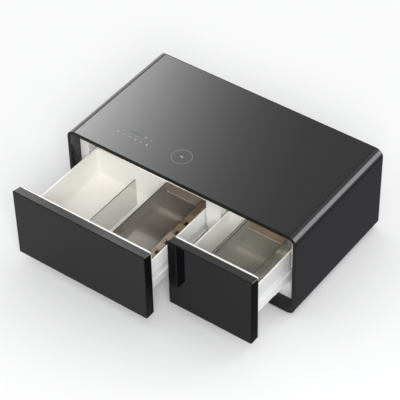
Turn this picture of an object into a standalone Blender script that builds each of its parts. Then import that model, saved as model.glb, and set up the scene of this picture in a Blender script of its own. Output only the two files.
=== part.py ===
# Refrigerator coffee table: a black sleeve on low feet with two cold drawers, shown partly open.
# Metres, +Z up, the width along X, the front towards -Y.
# The origin is on the floor, under the middle of the table with its drawers as shown.
import math

import bmesh
import bpy
from mathutils import Matrix, Vector

# Sleeve, the black rounded tube that is the table's body
table_width = 1.200
table_depth = 0.670
sleeve_height = 0.445
sleeve_wall = 0.017
corner_radius = 0.038
foot_height = 0.012
foot_radius = 0.022
foot_inset = 0.070
foot_ease = 0.001
seat_gap = 0.0003
cut_overrun = 0.010
weld_distance = 0.00003

# Glass top with what lies in the pockets under it
glass_thickness = 0.004
glass_margin = 0.003
pocket_depth = 0.006
pocket_clearance = 0.0005
touch_width = 0.192
touch_depth = 0.072
touch_inset = 0.270
touch_back = 0.137
coil_radius = 0.047
coil_spacing = 0.2475
coil_back = 0.143

# Drawers as shown, with what of each tub is still behind the frame, and their fronts' gaps
left_hold = 0.0556
right_hold = 0.0706
closed_recess = 0.001
right_front_width = 0.423
front_side_gap = 0.014
front_middle_gap = 0.014
front_bottom_gap = 0.027
front_top_gap = 0.024
front_depth = 0.047
front_glass_thickness = 0.004
front_slope_drop = 0.010
front_corner_radius = 0.006
core_ease = 0.0005
inner_panel_depth = 0.010
inner_panel_inset = 0.006
inner_panel_drop = 0.0035
inner_panel_ease = 0.001
gasket_depth = 0.003
gasket_width = 0.009
gasket_reach = 0.002

# Tubs behind the fronts, with their steel side profiles
tub_inset = 0.035
tub_lift = 0.018
tub_head_room = 0.0835
tub_wall = 0.007
tub_floor = 0.006
tub_corner_radius = 0.014
side_profile_height = 0.085
side_profile_thickness = 0.004
runner_gap = 0.013
runner_height = 0.045
runner_drop = 0.014
runner_sheet = 0.0015
runner_play = 0.0008
runner_reach = 0.0100
runner_end_gap = 0.004

# White front frame and the two compartments behind it
recess_depth = 0.062
frame_depth = 0.024
bottom_foam = 0.095
top_foam = 0.050
opening_radius = 0.006
liner_wall = 0.0025
liner_radius = 0.010
tub_back_clearance = 0.012
plenum_depth = 0.038
foam_back_thickness = 0.036
left_rear_room = 0.0163
bay_side_foam = 0.036

# Pieces that are in the drawers
middle_bay_width = 0.1245
divider_thickness = 0.003
divider_drop = 0.006
divider_back_room = 0.060
left_tray_width = 0.240
tray_wall = 0.003
tray_height = 0.055
tray_flange = 0.003
tray_corner_radius = 0.016
tray_rim_gap = 0.001
tray_ledge_width = 0.010
tray_ledge_height = 0.008
left_flange_width = 0.040
right_flange_width = 0.012
tab_first = 0.0815
tab_pitch = 0.0685
tab_count = 4
tab_notch = 0.022
tab_notch_depth = 0.015
right_tray_width = 0.255

# Cold plate, finned evaporator, its cover and the lights
plate_thickness = 0.003
plate_inset = 0.030
cover_thickness = 0.003
grille_slot_height = 0.006
grille_slot_pitch = 0.013
grille_slot_count = 7
grille_slot_width = 0.090
fan_size = 0.092
fan_depth = 0.025
evaporator_width = 0.260
evaporator_height = 0.130
evaporator_depth = 0.026
evaporator_inset = 0.057
evaporator_rise = 0.040
light_width = 0.300
light_depth = 0.012
light_height = 0.006
light_setback = 0.014

# Machine bay behind the right compartment
rear_inset = 0.004
rear_cover_thickness = 0.002
vent_width = 0.050
vent_height = 0.005
vent_pitch_x = 0.066
vent_pitch_z = 0.013
vent_band_height = 0.160
base_tray_wall = 0.002
base_tray_height = 0.014
base_tray_gap = 0.002
compressor_radius = 0.068
compressor_height = 0.165
compressor_flange = 0.005
compressor_dome = 0.030
bracket_width = 0.190
bracket_thickness = 0.004
bracket_ease = 0.001
condenser_width = 0.045
condenser_depth = 0.190
machine_bay_room = 0.0223
condenser_height = 0.230
fan_spacing = 0.012
bay_fan_size = 0.150
bay_fan_depth = 0.030
pan_height = 0.022
pan_wall = 0.0015
pipe_radius = 0.004
drier_radius = 0.009
drier_length = 0.110
pipe_bend = 0.024
pipe_run = 0.040
pipe_side_gap = 0.012
pipe_side_rise = 0.020
pipe_head_drop = 0.023
control_width = 0.180
control_height = 0.120
control_depth = 0.032
control_inset = 0.300
control_rise = 0.120
control_ease = 0.002
inlet_width = 0.048
inlet_height = 0.032
inlet_depth = 0.026
inlet_wall = 0.003
inlet_inset = 0.120
inlet_rise = 0.060
socket_depth = 0.018

# Shares and counts that shape small pieces
corner_steps = 6
turn_steps = 32
pipe_points = 14
evaporator_fins = 18
condenser_fins = 15
fin_share = 0.35
spine_share = 0.12
blade_count = 7
blade_pitch_degrees = 32
hub_share = 0.36
blade_width_share = 0.62
blade_thickness_share = 0.05
rotor_depth_share = 0.62
shroud_share = 0.94
rotor_share = 0.88
spoke_share = 0.08
spoke_depth_share = 0.16
motor_share = 0.34

# Depths that are left for the tubs between the fronts and what lies behind the compartments
tub_front_offset = front_depth + inner_panel_depth + 2 * seat_gap
plenum_room = plenum_depth + cover_thickness + seat_gap
plate_room = plate_thickness + 2 * seat_gap
control_room = control_depth + seat_gap + rear_cover_thickness + rear_inset
tub_allowance = table_depth - closed_recess - tub_front_offset - tub_back_clearance - liner_wall
left_back_room = plenum_room + foam_back_thickness + left_rear_room + control_room
right_back_room = plate_room + foam_back_thickness + machine_bay_room + condenser_depth
left_tub_depth = tub_allowance - left_back_room
right_tub_depth = tub_allowance - right_back_room
left_open = tub_front_offset + left_tub_depth - recess_depth - left_hold
right_open = tub_front_offset + right_tub_depth - recess_depth - right_hold

# Planes worked out from the sizes above
front_y = (left_open - table_depth) / 2
back_y = front_y + table_depth
half_width = table_width / 2
inner_x = half_width - sleeve_wall
front_split_x = inner_x - front_side_gap - right_front_width - front_middle_gap / 2
sleeve_top = foot_height + sleeve_height
floor_z = foot_height + sleeve_wall
ceiling_z = sleeve_top - sleeve_wall
inner_radius = corner_radius - sleeve_wall
front_low = floor_z + front_bottom_gap
front_high = ceiling_z - front_top_gap
front_back_high = front_high - front_slope_drop
frame_y = front_y + recess_depth
frame_back = frame_y + frame_depth
opening_low = floor_z + bottom_foam
opening_high = ceiling_z - top_foam
tub_low = opening_low + tub_lift
rim_z = opening_high - tub_head_room
profile_high = tub_low + side_profile_height
cover_y = back_y - rear_inset - rear_cover_thickness
touch_x = -half_width + touch_inset
coil_x = touch_x + coil_spacing
control_x = -half_width + control_inset
inlet_x = -half_width + inlet_inset

# Collections, with the solids in one and the shapes that cut or join them in another
parts = bpy.data.collections.new("refrigerator_coffee_table")
helpers = bpy.data.collections.new("cutters")


def clear_scene():
    for old in list(bpy.data.objects):
        bpy.data.objects.remove(old, do_unlink=True)
    bpy.context.scene.collection.children.link(parts)
    bpy.context.scene.collection.children.link(helpers)


def look(name, colour, roughness, metallic=0.0, alpha=1.0):
    paint = bpy.data.materials.new(name)
    paint.use_nodes = True
    shader = paint.node_tree.nodes["Principled BSDF"]
    shader.inputs["Base Color"].default_value = (*colour, 1.0)
    shader.inputs["Roughness"].default_value = roughness
    shader.inputs["Metallic"].default_value = metallic
    shader.inputs["Alpha"].default_value = alpha
    return paint


# Colours and finishes read from the table
black_lacquer = look("black_lacquer", (0.030, 0.029, 0.033), 0.45)
black_glass = look("black_glass", (0.018, 0.018, 0.020), 0.06)
black_plastic = look("black_plastic", (0.022, 0.022, 0.023), 0.40)
white_plastic = look("white_plastic", (0.86, 0.86, 0.85), 0.35)
white_paint = look("white_paint", (0.82, 0.82, 0.82), 0.30)
grey_seal = look("grey_seal", (0.62, 0.62, 0.62), 0.60)
smoky_plastic = look("smoky_plastic", (0.20, 0.16, 0.12), 0.12, alpha=0.45)
steel = look("steel", (0.60, 0.60, 0.61), 0.32, 1.0)
aluminium = look("aluminium", (0.78, 0.78, 0.79), 0.30, 1.0)
copper = look("copper", (0.85, 0.45, 0.28), 0.28, 1.0)
rubber = look("rubber", (0.020, 0.020, 0.020), 0.80)
foam = look("foam", (0.85, 0.76, 0.52), 0.90)
board_green = look("board_green", (0.03, 0.16, 0.08), 0.45)
light_cover = look("light_cover", (0.95, 0.95, 0.90), 0.25)


# Modelling helpers
def place(name, shape_data, middle, paint, collection=parts):
    solid = bpy.data.objects.new(name, shape_data)
    solid.location = middle
    shape_data.materials.append(paint)
    collection.objects.link(solid)
    if collection == helpers:
        solid.hide_render = True
        solid.display_type = "WIRE"
    return solid


def block(name, low, high, paint, collection=parts):
    low = Vector(low)
    high = Vector(high)
    shape = bmesh.new()
    bmesh.ops.create_cube(shape, size=1)
    bmesh.ops.scale(shape, vec=high - low, verts=shape.verts)
    data = bpy.data.meshes.new(name)
    shape.to_mesh(data)
    shape.free()
    return place(name, data, (low + high) / 2, paint, collection)


def drum(name, middle, radius, depth, paint, collection=parts, axis="Z", steps=turn_steps):
    shape = bmesh.new()
    bmesh.ops.create_cone(shape, cap_ends=True, segments=steps, radius1=radius, radius2=radius,
                          depth=depth)
    data = bpy.data.meshes.new(name)
    shape.to_mesh(data)
    shape.free()
    data.transform(turn_to(axis))
    return place(name, data, middle, paint, collection)


def turn_to(axis):
    if axis == "X":
        return Matrix.Rotation(math.pi / 2, 4, "Y")
    if axis == "Y":
        return Matrix.Rotation(math.pi / 2, 4, "X")
    return Matrix.Identity(4)


def rounded(low_u, low_v, high_u, high_v, radius, steps=corner_steps):
    points = []
    centres = ((high_u - radius, high_v - radius), (low_u + radius, high_v - radius),
               (low_u + radius, low_v + radius), (high_u - radius, low_v + radius))
    for quarter, (centre_u, centre_v) in enumerate(centres):
        for step in range(steps + 1):
            angle = (quarter + step / steps) * math.pi / 2
            points.append((centre_u + radius * math.cos(angle), centre_v + radius * math.sin(angle)))
    return points


def one_face_caps(shape):
    """Gives each flat end one face in place of the curve's triangles"""
    caps = [face for face in shape.faces if len({corner.co.z for corner in face.verts}) == 1]
    bmesh.ops.delete(shape, geom=caps, context="FACES_ONLY")
    rims = [edge for edge in shape.edges if edge.is_boundary or edge.is_wire]
    inner = [edge for edge in rims if edge.is_wire]
    bmesh.ops.delete(shape, geom=inner, context="EDGES")
    bmesh.ops.holes_fill(shape, edges=[edge for edge in shape.edges if edge.is_boundary], sides=0)


def drawn_out(name, outlines, low, high, axis, paint, collection=parts):
    """A flat outline, with any further outlines as its holes, drawn out along an axis.
    Its two coordinates are Y and Z for X, X and Z for Y, and X and Y for Z."""
    curve = bpy.data.curves.new(name, "CURVE")
    curve.dimensions = "2D"
    curve.fill_mode = "BOTH"
    curve.extrude = (high - low) / 2
    for outline in outlines:
        spline = curve.splines.new("POLY")
        spline.points.add(len(outline) - 1)
        for point, (u, v) in zip(spline.points, outline):
            point.co = (u, v, 0.0, 1.0)
        spline.use_cyclic_u = True
    guide = bpy.data.objects.new(name, curve)
    helpers.objects.link(guide)
    depsgraph = bpy.context.evaluated_depsgraph_get()
    data = bpy.data.meshes.new_from_object(guide.evaluated_get(depsgraph))
    bpy.data.objects.remove(guide, do_unlink=True)
    shape = bmesh.new()
    shape.from_mesh(data)
    bmesh.ops.remove_doubles(shape, verts=shape.verts, dist=weld_distance)
    if len(outlines) == 1:
        one_face_caps(shape)
    bmesh.ops.recalc_face_normals(shape, faces=shape.faces)
    shape.to_mesh(data)
    shape.free()
    middle = (low + high) / 2
    if axis == "X":
        data.transform(Matrix(((0, 0, 1, 0), (1, 0, 0, 0), (0, 1, 0, 0), (0, 0, 0, 1))))
        return place(name, data, (middle, 0.0, 0.0), paint, collection)
    if axis == "Y":
        data.transform(Matrix(((1, 0, 0, 0), (0, 0, -1, 0), (0, 1, 0, 0), (0, 0, 0, 1))))
        return place(name, data, (0.0, middle, 0.0), paint, collection)
    return place(name, data, (0.0, 0.0, middle), paint, collection)


def turned(name, profile, middle, paint, axis="Z", collection=parts):
    """A profile of (radius, height) points, from the top down its outer side, turned about an axis"""
    data = bpy.data.meshes.new(name)
    shape = bmesh.new()
    corners = [shape.verts.new((radius, 0.0, height)) for radius, height in profile]
    for first, second in zip(corners, corners[1:]):
        shape.edges.new((first, second))
    shape.to_mesh(data)
    shape.free()
    solid = place(name, data, middle, paint, collection)
    solid.rotation_euler = turn_to(axis).to_euler()
    screw = solid.modifiers.new("turning", "SCREW")
    screw.steps = turn_steps
    screw.render_steps = turn_steps
    screw.use_merge_vertices = True
    screw.merge_threshold = weld_distance
    return solid


def combine(solid, other, operation):
    step = solid.modifiers.new(other.name, "BOOLEAN")
    step.operation = operation
    step.object = other
    step.solver = "EXACT"


def ease_edges(solid, width, rounds=2):
    edge = solid.modifiers.new("eased edges", "BEVEL")
    edge.width = width
    edge.segments = rounds
    edge.limit_method = "ANGLE"


def merged(name, pieces, collection=helpers):
    """Several helper solids that lie apart, as one object"""
    shape = bmesh.new()
    for piece in pieces:
        copy = piece.data.copy()
        copy.transform(piece.matrix_basis)
        shape.from_mesh(copy)
        bpy.data.meshes.remove(copy)
        bpy.data.objects.remove(piece, do_unlink=True)
    data = bpy.data.meshes.new(name)
    shape.to_mesh(data)
    shape.free()
    return place(name, data, (0.0, 0.0, 0.0), black_plastic, collection)


def smooth_route(route, count):
    """Points on a smooth curve through the route's own points"""
    ends = [route[0] * 2 - route[1]] + list(route) + [route[-1] * 2 - route[-2]]
    points = []
    for first, second, third, fourth in zip(ends, ends[1:], ends[2:], ends[3:]):
        for step in range(count):
            t = step / count
            points.append(((second * 2) + (third - first) * t
                           + (first * 2 - second * 5 + third * 4 - fourth) * t ** 2
                           + (second * 3 - first - third * 3 + fourth) * t ** 3) / 2)
    points.append(route[-1])
    return points


def pipe(name, route, radius, paint):
    points = smooth_route([Vector(point) for point in route], pipe_points // 3)
    curve = bpy.data.curves.new(name, "CURVE")
    curve.dimensions = "3D"
    curve.bevel_depth = radius
    curve.bevel_resolution = 2
    curve.use_fill_caps = True
    spline = curve.splines.new("POLY")
    spline.points.add(len(points) - 1)
    for point, spot in zip(spline.points, points):
        point.co = (*spot, 1.0)
    return place(name, curve, (0.0, 0.0, 0.0), paint)


def carried_by(carrier, solids):
    for solid in solids:
        solid.parent = carrier
        solid.location = Vector(solid.location) - Vector(carrier.location)


def carrier(name, spot):
    holder = bpy.data.objects.new(name, None)
    holder.location = spot
    parts.objects.link(holder)
    return holder


# Body of the table
def outer_sleeve():
    outer = rounded(-half_width, foot_height, half_width, sleeve_top, corner_radius)
    inner = rounded(-inner_x, floor_z, inner_x, ceiling_z, inner_radius)
    sleeve = drawn_out("outer_sleeve", (outer, inner), front_y, back_y, "Y", black_lacquer)
    seat = block("glass_seat", (-half_width + corner_radius, front_y + glass_margin, glass_seat_z),
                 (half_width - corner_radius, back_y - glass_margin, sleeve_top + cut_overrun),
                 black_lacquer, helpers)
    touch = block("touch_pocket", (touch_x - touch_width / 2, touch_y - touch_depth / 2, pocket_z),
                  (touch_x + touch_width / 2, touch_y + touch_depth / 2, sleeve_top + cut_overrun),
                  black_lacquer, helpers)
    coil_high = sleeve_top + cut_overrun
    coil = drum("coil_pocket", (coil_x, coil_y, (pocket_z + coil_high) / 2), coil_radius,
                coil_high - pocket_z, black_lacquer, helpers)
    for cutter in (seat, touch, coil):
        combine(sleeve, cutter, "DIFFERENCE")
    return sleeve


glass_seat_z = sleeve_top - glass_thickness - seat_gap
pocket_z = glass_seat_z - pocket_depth
touch_y = front_y + touch_back
coil_y = front_y + coil_back


def top_glass():
    reach = half_width - corner_radius - seat_gap
    glass = block("top_glass", (-reach, front_y + glass_margin + seat_gap, sleeve_top - glass_thickness),
                  (reach, back_y - glass_margin - seat_gap, sleeve_top), black_glass)
    return glass


def under_glass():
    low = pocket_z + seat_gap
    high = glass_seat_z
    half_x = touch_width / 2 - pocket_clearance
    half_y = touch_depth / 2 - pocket_clearance
    block("touch_module", (touch_x - half_x, touch_y - half_y, low),
          (touch_x + half_x, touch_y + half_y, high), board_green)
    drum("charging_coil", (coil_x, coil_y, (low + high) / 2), coil_radius - pocket_clearance,
         high - low, copper)


def feet():
    for side, across in (("left", -1), ("right", 1)):
        for end, spot_y in (("front", front_y + foot_inset), ("rear", back_y - foot_inset)):
            foot = drum(f"foot_{end}_{side}",
                        (across * (half_width - foot_inset), spot_y, (foot_height - seat_gap) / 2),
                        foot_radius, foot_height - seat_gap, rubber)
            ease_edges(foot, foot_ease)


# White frame, liners and foam
def opening_span(side):
    """Left and right edges of a compartment's opening"""
    low, high = tub_span(side)
    return low - runner_gap, high + runner_gap


def front_span(side):
    middle_low = front_split_x - front_middle_gap / 2
    middle_high = front_split_x + front_middle_gap / 2
    if side == "left":
        return -inner_x + front_side_gap, middle_low
    return middle_high, inner_x - front_side_gap


def tub_span(side):
    low, high = front_span(side)
    return low + tub_inset, high - tub_inset


def front_frame():
    outer = rounded(-inner_x + seat_gap, floor_z + seat_gap, inner_x - seat_gap, ceiling_z - seat_gap,
                    inner_radius)
    holes = []
    for side in ("left", "right"):
        low, high = opening_span(side)
        holes.append(rounded(low, opening_low, high, opening_high, opening_radius))
    return drawn_out("front_frame", (outer, *holes), frame_y, frame_back, "Y", white_plastic)


def liner_end(side):
    """Inner face of a liner's back wall"""
    closed_back = front_y + closed_recess + tub_front_offset + tub_depth[side]
    room = plenum_room if side == "left" else 0.0
    return closed_back + tub_back_clearance + room


tub_depth = {"left": left_tub_depth, "right": right_tub_depth}
opened = {"left": left_open, "right": right_open}


def liner(side):
    low, high = opening_span(side)
    start = frame_back + seat_gap
    end = liner_end(side)
    shell = drawn_out(f"{side}_liner",
                      (rounded(low - liner_wall, opening_low - liner_wall, high + liner_wall,
                               opening_high + liner_wall, liner_radius + liner_wall),),
                      start, end + liner_wall, "Y", white_plastic)
    cavity = drawn_out(f"{side}_liner_space",
                       (rounded(low, opening_low, high, opening_high, liner_radius),),
                       start - cut_overrun, end, "Y", white_plastic, helpers)
    combine(shell, cavity, "DIFFERENCE")
    return shell


def insulation():
    start = frame_back + seat_gap
    left_back = liner_end("left") + liner_wall + foam_back_thickness
    right_back = liner_end("right") + liner_wall + plate_room + foam_back_thickness
    body = drawn_out("insulation",
                     (rounded(-inner_x + seat_gap, floor_z + seat_gap, inner_x - seat_gap,
                              ceiling_z - seat_gap, inner_radius),),
                     start, left_back, "Y", foam)
    for side in ("left", "right"):
        low, high = opening_span(side)
        reach = liner_wall + seat_gap
        end = liner_end(side) + reach
        if side == "right":
            end = end + plate_thickness + seat_gap
        space = block(f"{side}_foam_space", (low - reach, start - cut_overrun, opening_low - reach),
                      (high + reach, end, opening_high + reach), foam, helpers)
        combine(body, space, "DIFFERENCE")
    bay = block("foam_bay", (bay_low_x, right_back, foot_height),
                (half_width, left_back + cut_overrun, sleeve_top), foam, helpers)
    combine(body, bay, "DIFFERENCE")
    return left_back, right_back


bay_low_x = front_split_x + bay_side_foam / 2


# Cooling pieces of the compartments
def cold_plate():
    low, high = opening_span("right")
    start = liner_end("right") + liner_wall + seat_gap
    block("right_cold_plate", (low + plate_inset, start, opening_low + plate_inset),
          (high - plate_inset, start + plate_thickness, opening_high - plate_inset), aluminium)


def comb(low_u, low_v, width, height, fins):
    """Outline of a finned block: a spine along its lower side with fins that stand on it"""
    pitch = width / (fins - 1 + fin_share)
    fin = pitch * fin_share
    spine = height * spine_share
    points = [(low_u, low_v)]
    points.append((low_u + width, low_v))
    for index in reversed(range(fins)):
        start = low_u + pitch * index
        points.append((start + fin, low_v + height))
        points.append((start, low_v + height))
        if index:
            points.append((start, low_v + spine))
            points.append((start - pitch + fin, low_v + spine))
    return points


def evaporator():
    back = liner_end("left") - seat_gap
    low_x = opening_span("left")[0] + evaporator_inset
    low_z = opening_low + evaporator_rise
    drawn_out("left_evaporator", (comb(low_x, low_z, evaporator_width, evaporator_height,
                                       evaporator_fins),),
              back - evaporator_depth, back, "Y", aluminium)


def fan_centre_x():
    """Halfway between the evaporator and the compartment's right wall"""
    low, high = opening_span("left")
    return (low + evaporator_inset + evaporator_width + high) / 2


def evaporator_cover():
    low, high = opening_span("left")
    end = liner_end("left") - plenum_depth
    cover = drawn_out("evaporator_cover",
                      (rounded(low + seat_gap, opening_low + seat_gap, high - seat_gap,
                               opening_high - seat_gap, liner_radius),),
                      end - cover_thickness, end, "Y", white_plastic)
    slots = []
    first = (opening_low + opening_high - (grille_slot_count - 1) * grille_slot_pitch) / 2
    for centre_x in (fan_centre_x(), low + evaporator_inset + evaporator_width / 2):
        for index in range(grille_slot_count):
            middle = first + index * grille_slot_pitch
            slots.append(block("slot", (centre_x - grille_slot_width / 2, end - cut_overrun,
                                        middle - grille_slot_height / 2),
                               (centre_x + grille_slot_width / 2, end + cut_overrun,
                                middle + grille_slot_height / 2), white_plastic, helpers))
    combine(cover, merged("grille_slots", slots), "DIFFERENCE")


def fan(name, middle, size, depth, axis):
    """A square fan: its frame, and its rotor with the origin on the axis"""
    frame = block(f"{name}_frame", (-size / 2, -size / 2, -depth / 2), (size / 2, size / 2, depth / 2),
                  black_plastic)
    shroud = drum(f"{name}_shroud", (0.0, 0.0, 0.0), size * shroud_share / 2, depth + cut_overrun,
                  black_plastic, helpers)
    spoke_depth = depth * spoke_depth_share
    spoke_z = (spoke_depth - depth) / 2
    motor = drum(f"{name}_motor", (0.0, 0.0, spoke_z), size * motor_share / 2, spoke_depth,
                 black_plastic, helpers)
    bars = []
    for along in (0, 1):
        reach = size * (shroud_share + 1) / 4
        thin = size * spoke_share / 2
        half_x = reach if along else thin
        half_y = thin if along else reach
        bars.append(block(f"{name}_spoke_{along}", (-half_x, -half_y, spoke_z - spoke_depth / 2),
                          (half_x, half_y, spoke_z + spoke_depth / 2), black_plastic, helpers))
    combine(frame, shroud, "DIFFERENCE")
    combine(frame, motor, "UNION")
    for bar in bars:
        combine(frame, bar, "UNION")
    rotor_depth = depth * rotor_depth_share
    rotor_z = spoke_z + spoke_depth / 2 + seat_gap + rotor_depth / 2
    hub = drum(f"{name}_rotor", (0.0, 0.0, 0.0), size * hub_share / 2, rotor_depth, black_plastic)
    hub.data.transform(Matrix.Translation((0.0, 0.0, rotor_z)))
    blade_long = size * (rotor_share - hub_share) / 2 + size * hub_share / 4
    blade_wide = rotor_depth * blade_width_share
    blade_thin = size * blade_thickness_share / 2
    blades = []
    for index in range(blade_count):
        blade = block("blade", (-blade_long / 2, -blade_wide / 2, -blade_thin / 2),
                      (blade_long / 2, blade_wide / 2, blade_thin / 2), black_plastic, helpers)
        pitch = Matrix.Rotation(math.radians(blade_pitch_degrees), 4, "X")
        out = Matrix.Translation((size * rotor_share / 2 - blade_long / 2, 0.0, rotor_z))
        spin = Matrix.Rotation(2 * math.pi * index / blade_count, 4, "Z")
        blade.matrix_basis = spin @ out @ pitch
        blades.append(blade)
    combine(hub, merged(f"{name}_blades", blades), "UNION")
    for piece in (frame, shroud, motor, *bars, hub, helpers.objects[f"{name}_blades"]):
        piece.matrix_basis = Matrix.Translation(middle) @ turn_to(axis) @ piece.matrix_basis


def compartment_lights():
    for side in ("left", "right"):
        low, high = opening_span(side)
        middle = (low + high) / 2
        half = min(light_width, high - low - 2 * plate_inset) / 2
        block(f"{side}_light", (middle - half, frame_back + light_setback,
                                opening_high - seat_gap - light_height),
              (middle + half, frame_back + light_setback + light_depth, opening_high - seat_gap),
              light_cover)


# Machine bay and back
def rear_cover():
    plate = drawn_out("rear_cover",
                      (rounded(-inner_x + seat_gap, floor_z + seat_gap, inner_x - seat_gap,
                               ceiling_z - seat_gap, inner_radius),),
                      cover_y, cover_y + rear_cover_thickness, "Y", black_plastic)
    slots = []
    middle_x = (bay_low_x + inner_x) / 2
    middle_z = (floor_z + ceiling_z) / 2
    vent_columns = int((inner_x - bay_low_x) / vent_pitch_x)
    vent_rows = int(vent_band_height / vent_pitch_z)
    for column in range(vent_columns):
        for row in range(vent_rows):
            spot_x = middle_x + (column - (vent_columns - 1) / 2) * vent_pitch_x
            spot_z = middle_z + (row - (vent_rows - 1) / 2) * vent_pitch_z
            slots.append(block("vent", (spot_x - vent_width / 2, cover_y - cut_overrun,
                                        spot_z - vent_height / 2),
                               (spot_x + vent_width / 2, cover_y + cut_overrun,
                                spot_z + vent_height / 2), black_plastic, helpers))
    combine(plate, merged("vents", slots), "DIFFERENCE")
    hole = block("inlet_hole", (inlet_x - inlet_width / 2 - seat_gap, cover_y - cut_overrun,
                                inlet_z - inlet_height / 2 - seat_gap),
                 (inlet_x + inlet_width / 2 + seat_gap, back_y, inlet_z + inlet_height / 2 + seat_gap),
                 black_plastic, helpers)
    combine(plate, hole, "DIFFERENCE")


inlet_z = floor_z + inlet_rise


def power_inlet():
    end = cover_y + rear_cover_thickness
    body = block("power_inlet", (inlet_x - inlet_width / 2, end - inlet_depth,
                                 inlet_z - inlet_height / 2),
                 (inlet_x + inlet_width / 2, end, inlet_z + inlet_height / 2), black_plastic)
    socket = block("socket", (inlet_x - inlet_width / 2 + inlet_wall, end - socket_depth,
                              inlet_z - inlet_height / 2 + inlet_wall),
                   (inlet_x + inlet_width / 2 - inlet_wall, end + cut_overrun,
                    inlet_z + inlet_height / 2 - inlet_wall), black_plastic, helpers)
    combine(body, socket, "DIFFERENCE")


def control_box():
    low_z = floor_z + control_rise
    high_y = cover_y - seat_gap
    box = block("control_box", (control_x - control_width / 2, high_y - control_depth, low_z),
                (control_x + control_width / 2, high_y, low_z + control_height), white_plastic)
    ease_edges(box, control_ease)


def machine_bay(right_back):
    low_x = bay_low_x + base_tray_gap
    high_x = inner_x - inner_radius - base_tray_gap
    low_y = right_back + base_tray_gap
    high_y = cover_y - base_tray_gap
    low_z = floor_z + seat_gap
    tray = block("base_tray", (low_x, low_y, low_z), (high_x, high_y, low_z + base_tray_height), steel)
    space = block("base_tray_space", (low_x + base_tray_wall, low_y + base_tray_wall,
                                      low_z + base_tray_wall),
                  (high_x - base_tray_wall, high_y - base_tray_wall, low_z + base_tray_height
                   + cut_overrun), steel, helpers)
    combine(tray, space, "DIFFERENCE")
    deck = low_z + base_tray_wall + seat_gap
    middle_y = (low_y + high_y) / 2

    condenser_low = low_x + base_tray_wall + fan_spacing
    half_y = condenser_depth / 2
    fins = comb(middle_y - half_y, deck, condenser_depth, condenser_height, condenser_fins)
    drawn_out("condenser", (fins,), condenser_low, condenser_low + condenser_width, "X", aluminium)

    fan_x = condenser_low + condenser_width + seat_gap + bay_fan_depth / 2
    fan("condenser_fan", (fan_x, middle_y, deck + bay_fan_size / 2), bay_fan_size, bay_fan_depth, "X")

    compressor_x = high_x - base_tray_wall - fan_spacing - bracket_width / 2
    bracket = block("compressor_bracket",
                    (compressor_x - bracket_width / 2, middle_y - condenser_depth / 2, deck),
                    (compressor_x + bracket_width / 2, middle_y + condenser_depth / 2,
                     deck + bracket_thickness), steel)
    ease_edges(bracket, bracket_ease)
    base = deck + bracket_thickness + seat_gap
    seam = compressor_height / 2
    profile = [(0.0, compressor_height),
               (compressor_radius - compressor_dome, compressor_height),
               (compressor_radius - compressor_dome / 3, compressor_height - compressor_dome / 3),
               (compressor_radius, compressor_height - compressor_dome),
               (compressor_radius, seam + compressor_flange),
               (compressor_radius + compressor_flange, seam + compressor_flange),
               (compressor_radius + compressor_flange, seam - compressor_flange),
               (compressor_radius, seam - compressor_flange),
               (compressor_radius, compressor_dome / 2),
               (compressor_radius - compressor_dome / 2, 0.0),
               (0.0, 0.0)]
    turned("compressor", profile, (compressor_x, middle_y, base), black_plastic)
    top = base + compressor_height

    pan_low = top + seat_gap
    pan = block("drip_pan", (compressor_x - compressor_radius, middle_y - compressor_radius, pan_low),
                (compressor_x + compressor_radius, middle_y + compressor_radius,
                 pan_low + pan_height), black_plastic)
    pan_space = block("drip_pan_space",
                      (compressor_x - compressor_radius + pan_wall,
                       middle_y - compressor_radius + pan_wall, pan_low + pan_wall),
                      (compressor_x + compressor_radius - pan_wall,
                       middle_y + compressor_radius - pan_wall, pan_low + pan_height + cut_overrun),
                      black_plastic, helpers)
    combine(pan, pan_space, "DIFFERENCE")

    pipe_y = middle_y + bay_fan_size / 2 + pipe_side_gap
    shell_x = compressor_x - compressor_radius - seat_gap
    bend_x = shell_x - pipe_run
    head_z = deck + condenser_height - pipe_head_drop
    side_z = base + seam + pipe_side_rise
    pipe("discharge_pipe",
         ((shell_x, middle_y, side_z),
          (shell_x - pipe_bend, middle_y, side_z),
          (bend_x, middle_y + compressor_radius / 2, side_z),
          (bend_x, pipe_y, (side_z + head_z) / 2),
          (fan_x + bay_fan_depth / 2 + pipe_bend, pipe_y, head_z),
          (fan_x, pipe_y, head_z),
          (condenser_low + condenser_width + seat_gap, pipe_y, head_z)), pipe_radius, copper)
    return_y = middle_y - compressor_radius / 3
    pipe("suction_pipe",
         ((compressor_x, middle_y - compressor_radius - seat_gap, side_z),
          (compressor_x, (middle_y - compressor_radius + right_back) / 2, side_z),
          (compressor_x, right_back + seat_gap, side_z)), pipe_radius, copper)
    drier_x = condenser_low + condenser_width / 2
    drier_top = deck + condenser_height + seat_gap + drier_radius
    half = drier_length / 2
    neck = drier_radius / 2
    shoulder = half - drier_radius
    belly = shoulder - drier_radius
    turned("filter_drier",
           [(0.0, half), (neck, half), (neck, shoulder), (drier_radius, belly),
            (drier_radius, -belly), (neck, -shoulder), (neck, -half), (0.0, -half)],
           (drier_x, return_y, drier_top), copper, "Y")


# Drawers
def gasket(side, face_y, body):
    low, high = opening_span(side)
    reach = gasket_reach
    outer = rounded(low - reach - gasket_width, opening_low - reach - gasket_width,
                    high + reach + gasket_width, opening_high + reach + gasket_width,
                    opening_radius + gasket_width)
    inner = rounded(low - reach, opening_low - reach, high + reach, opening_high + reach,
                    opening_radius)
    start = face_y + front_depth + inner_panel_depth + 2 * seat_gap
    body.append(drawn_out(f"{side}_gasket", (outer, inner), start, start + gasket_depth, "Y", grey_seal))


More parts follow.
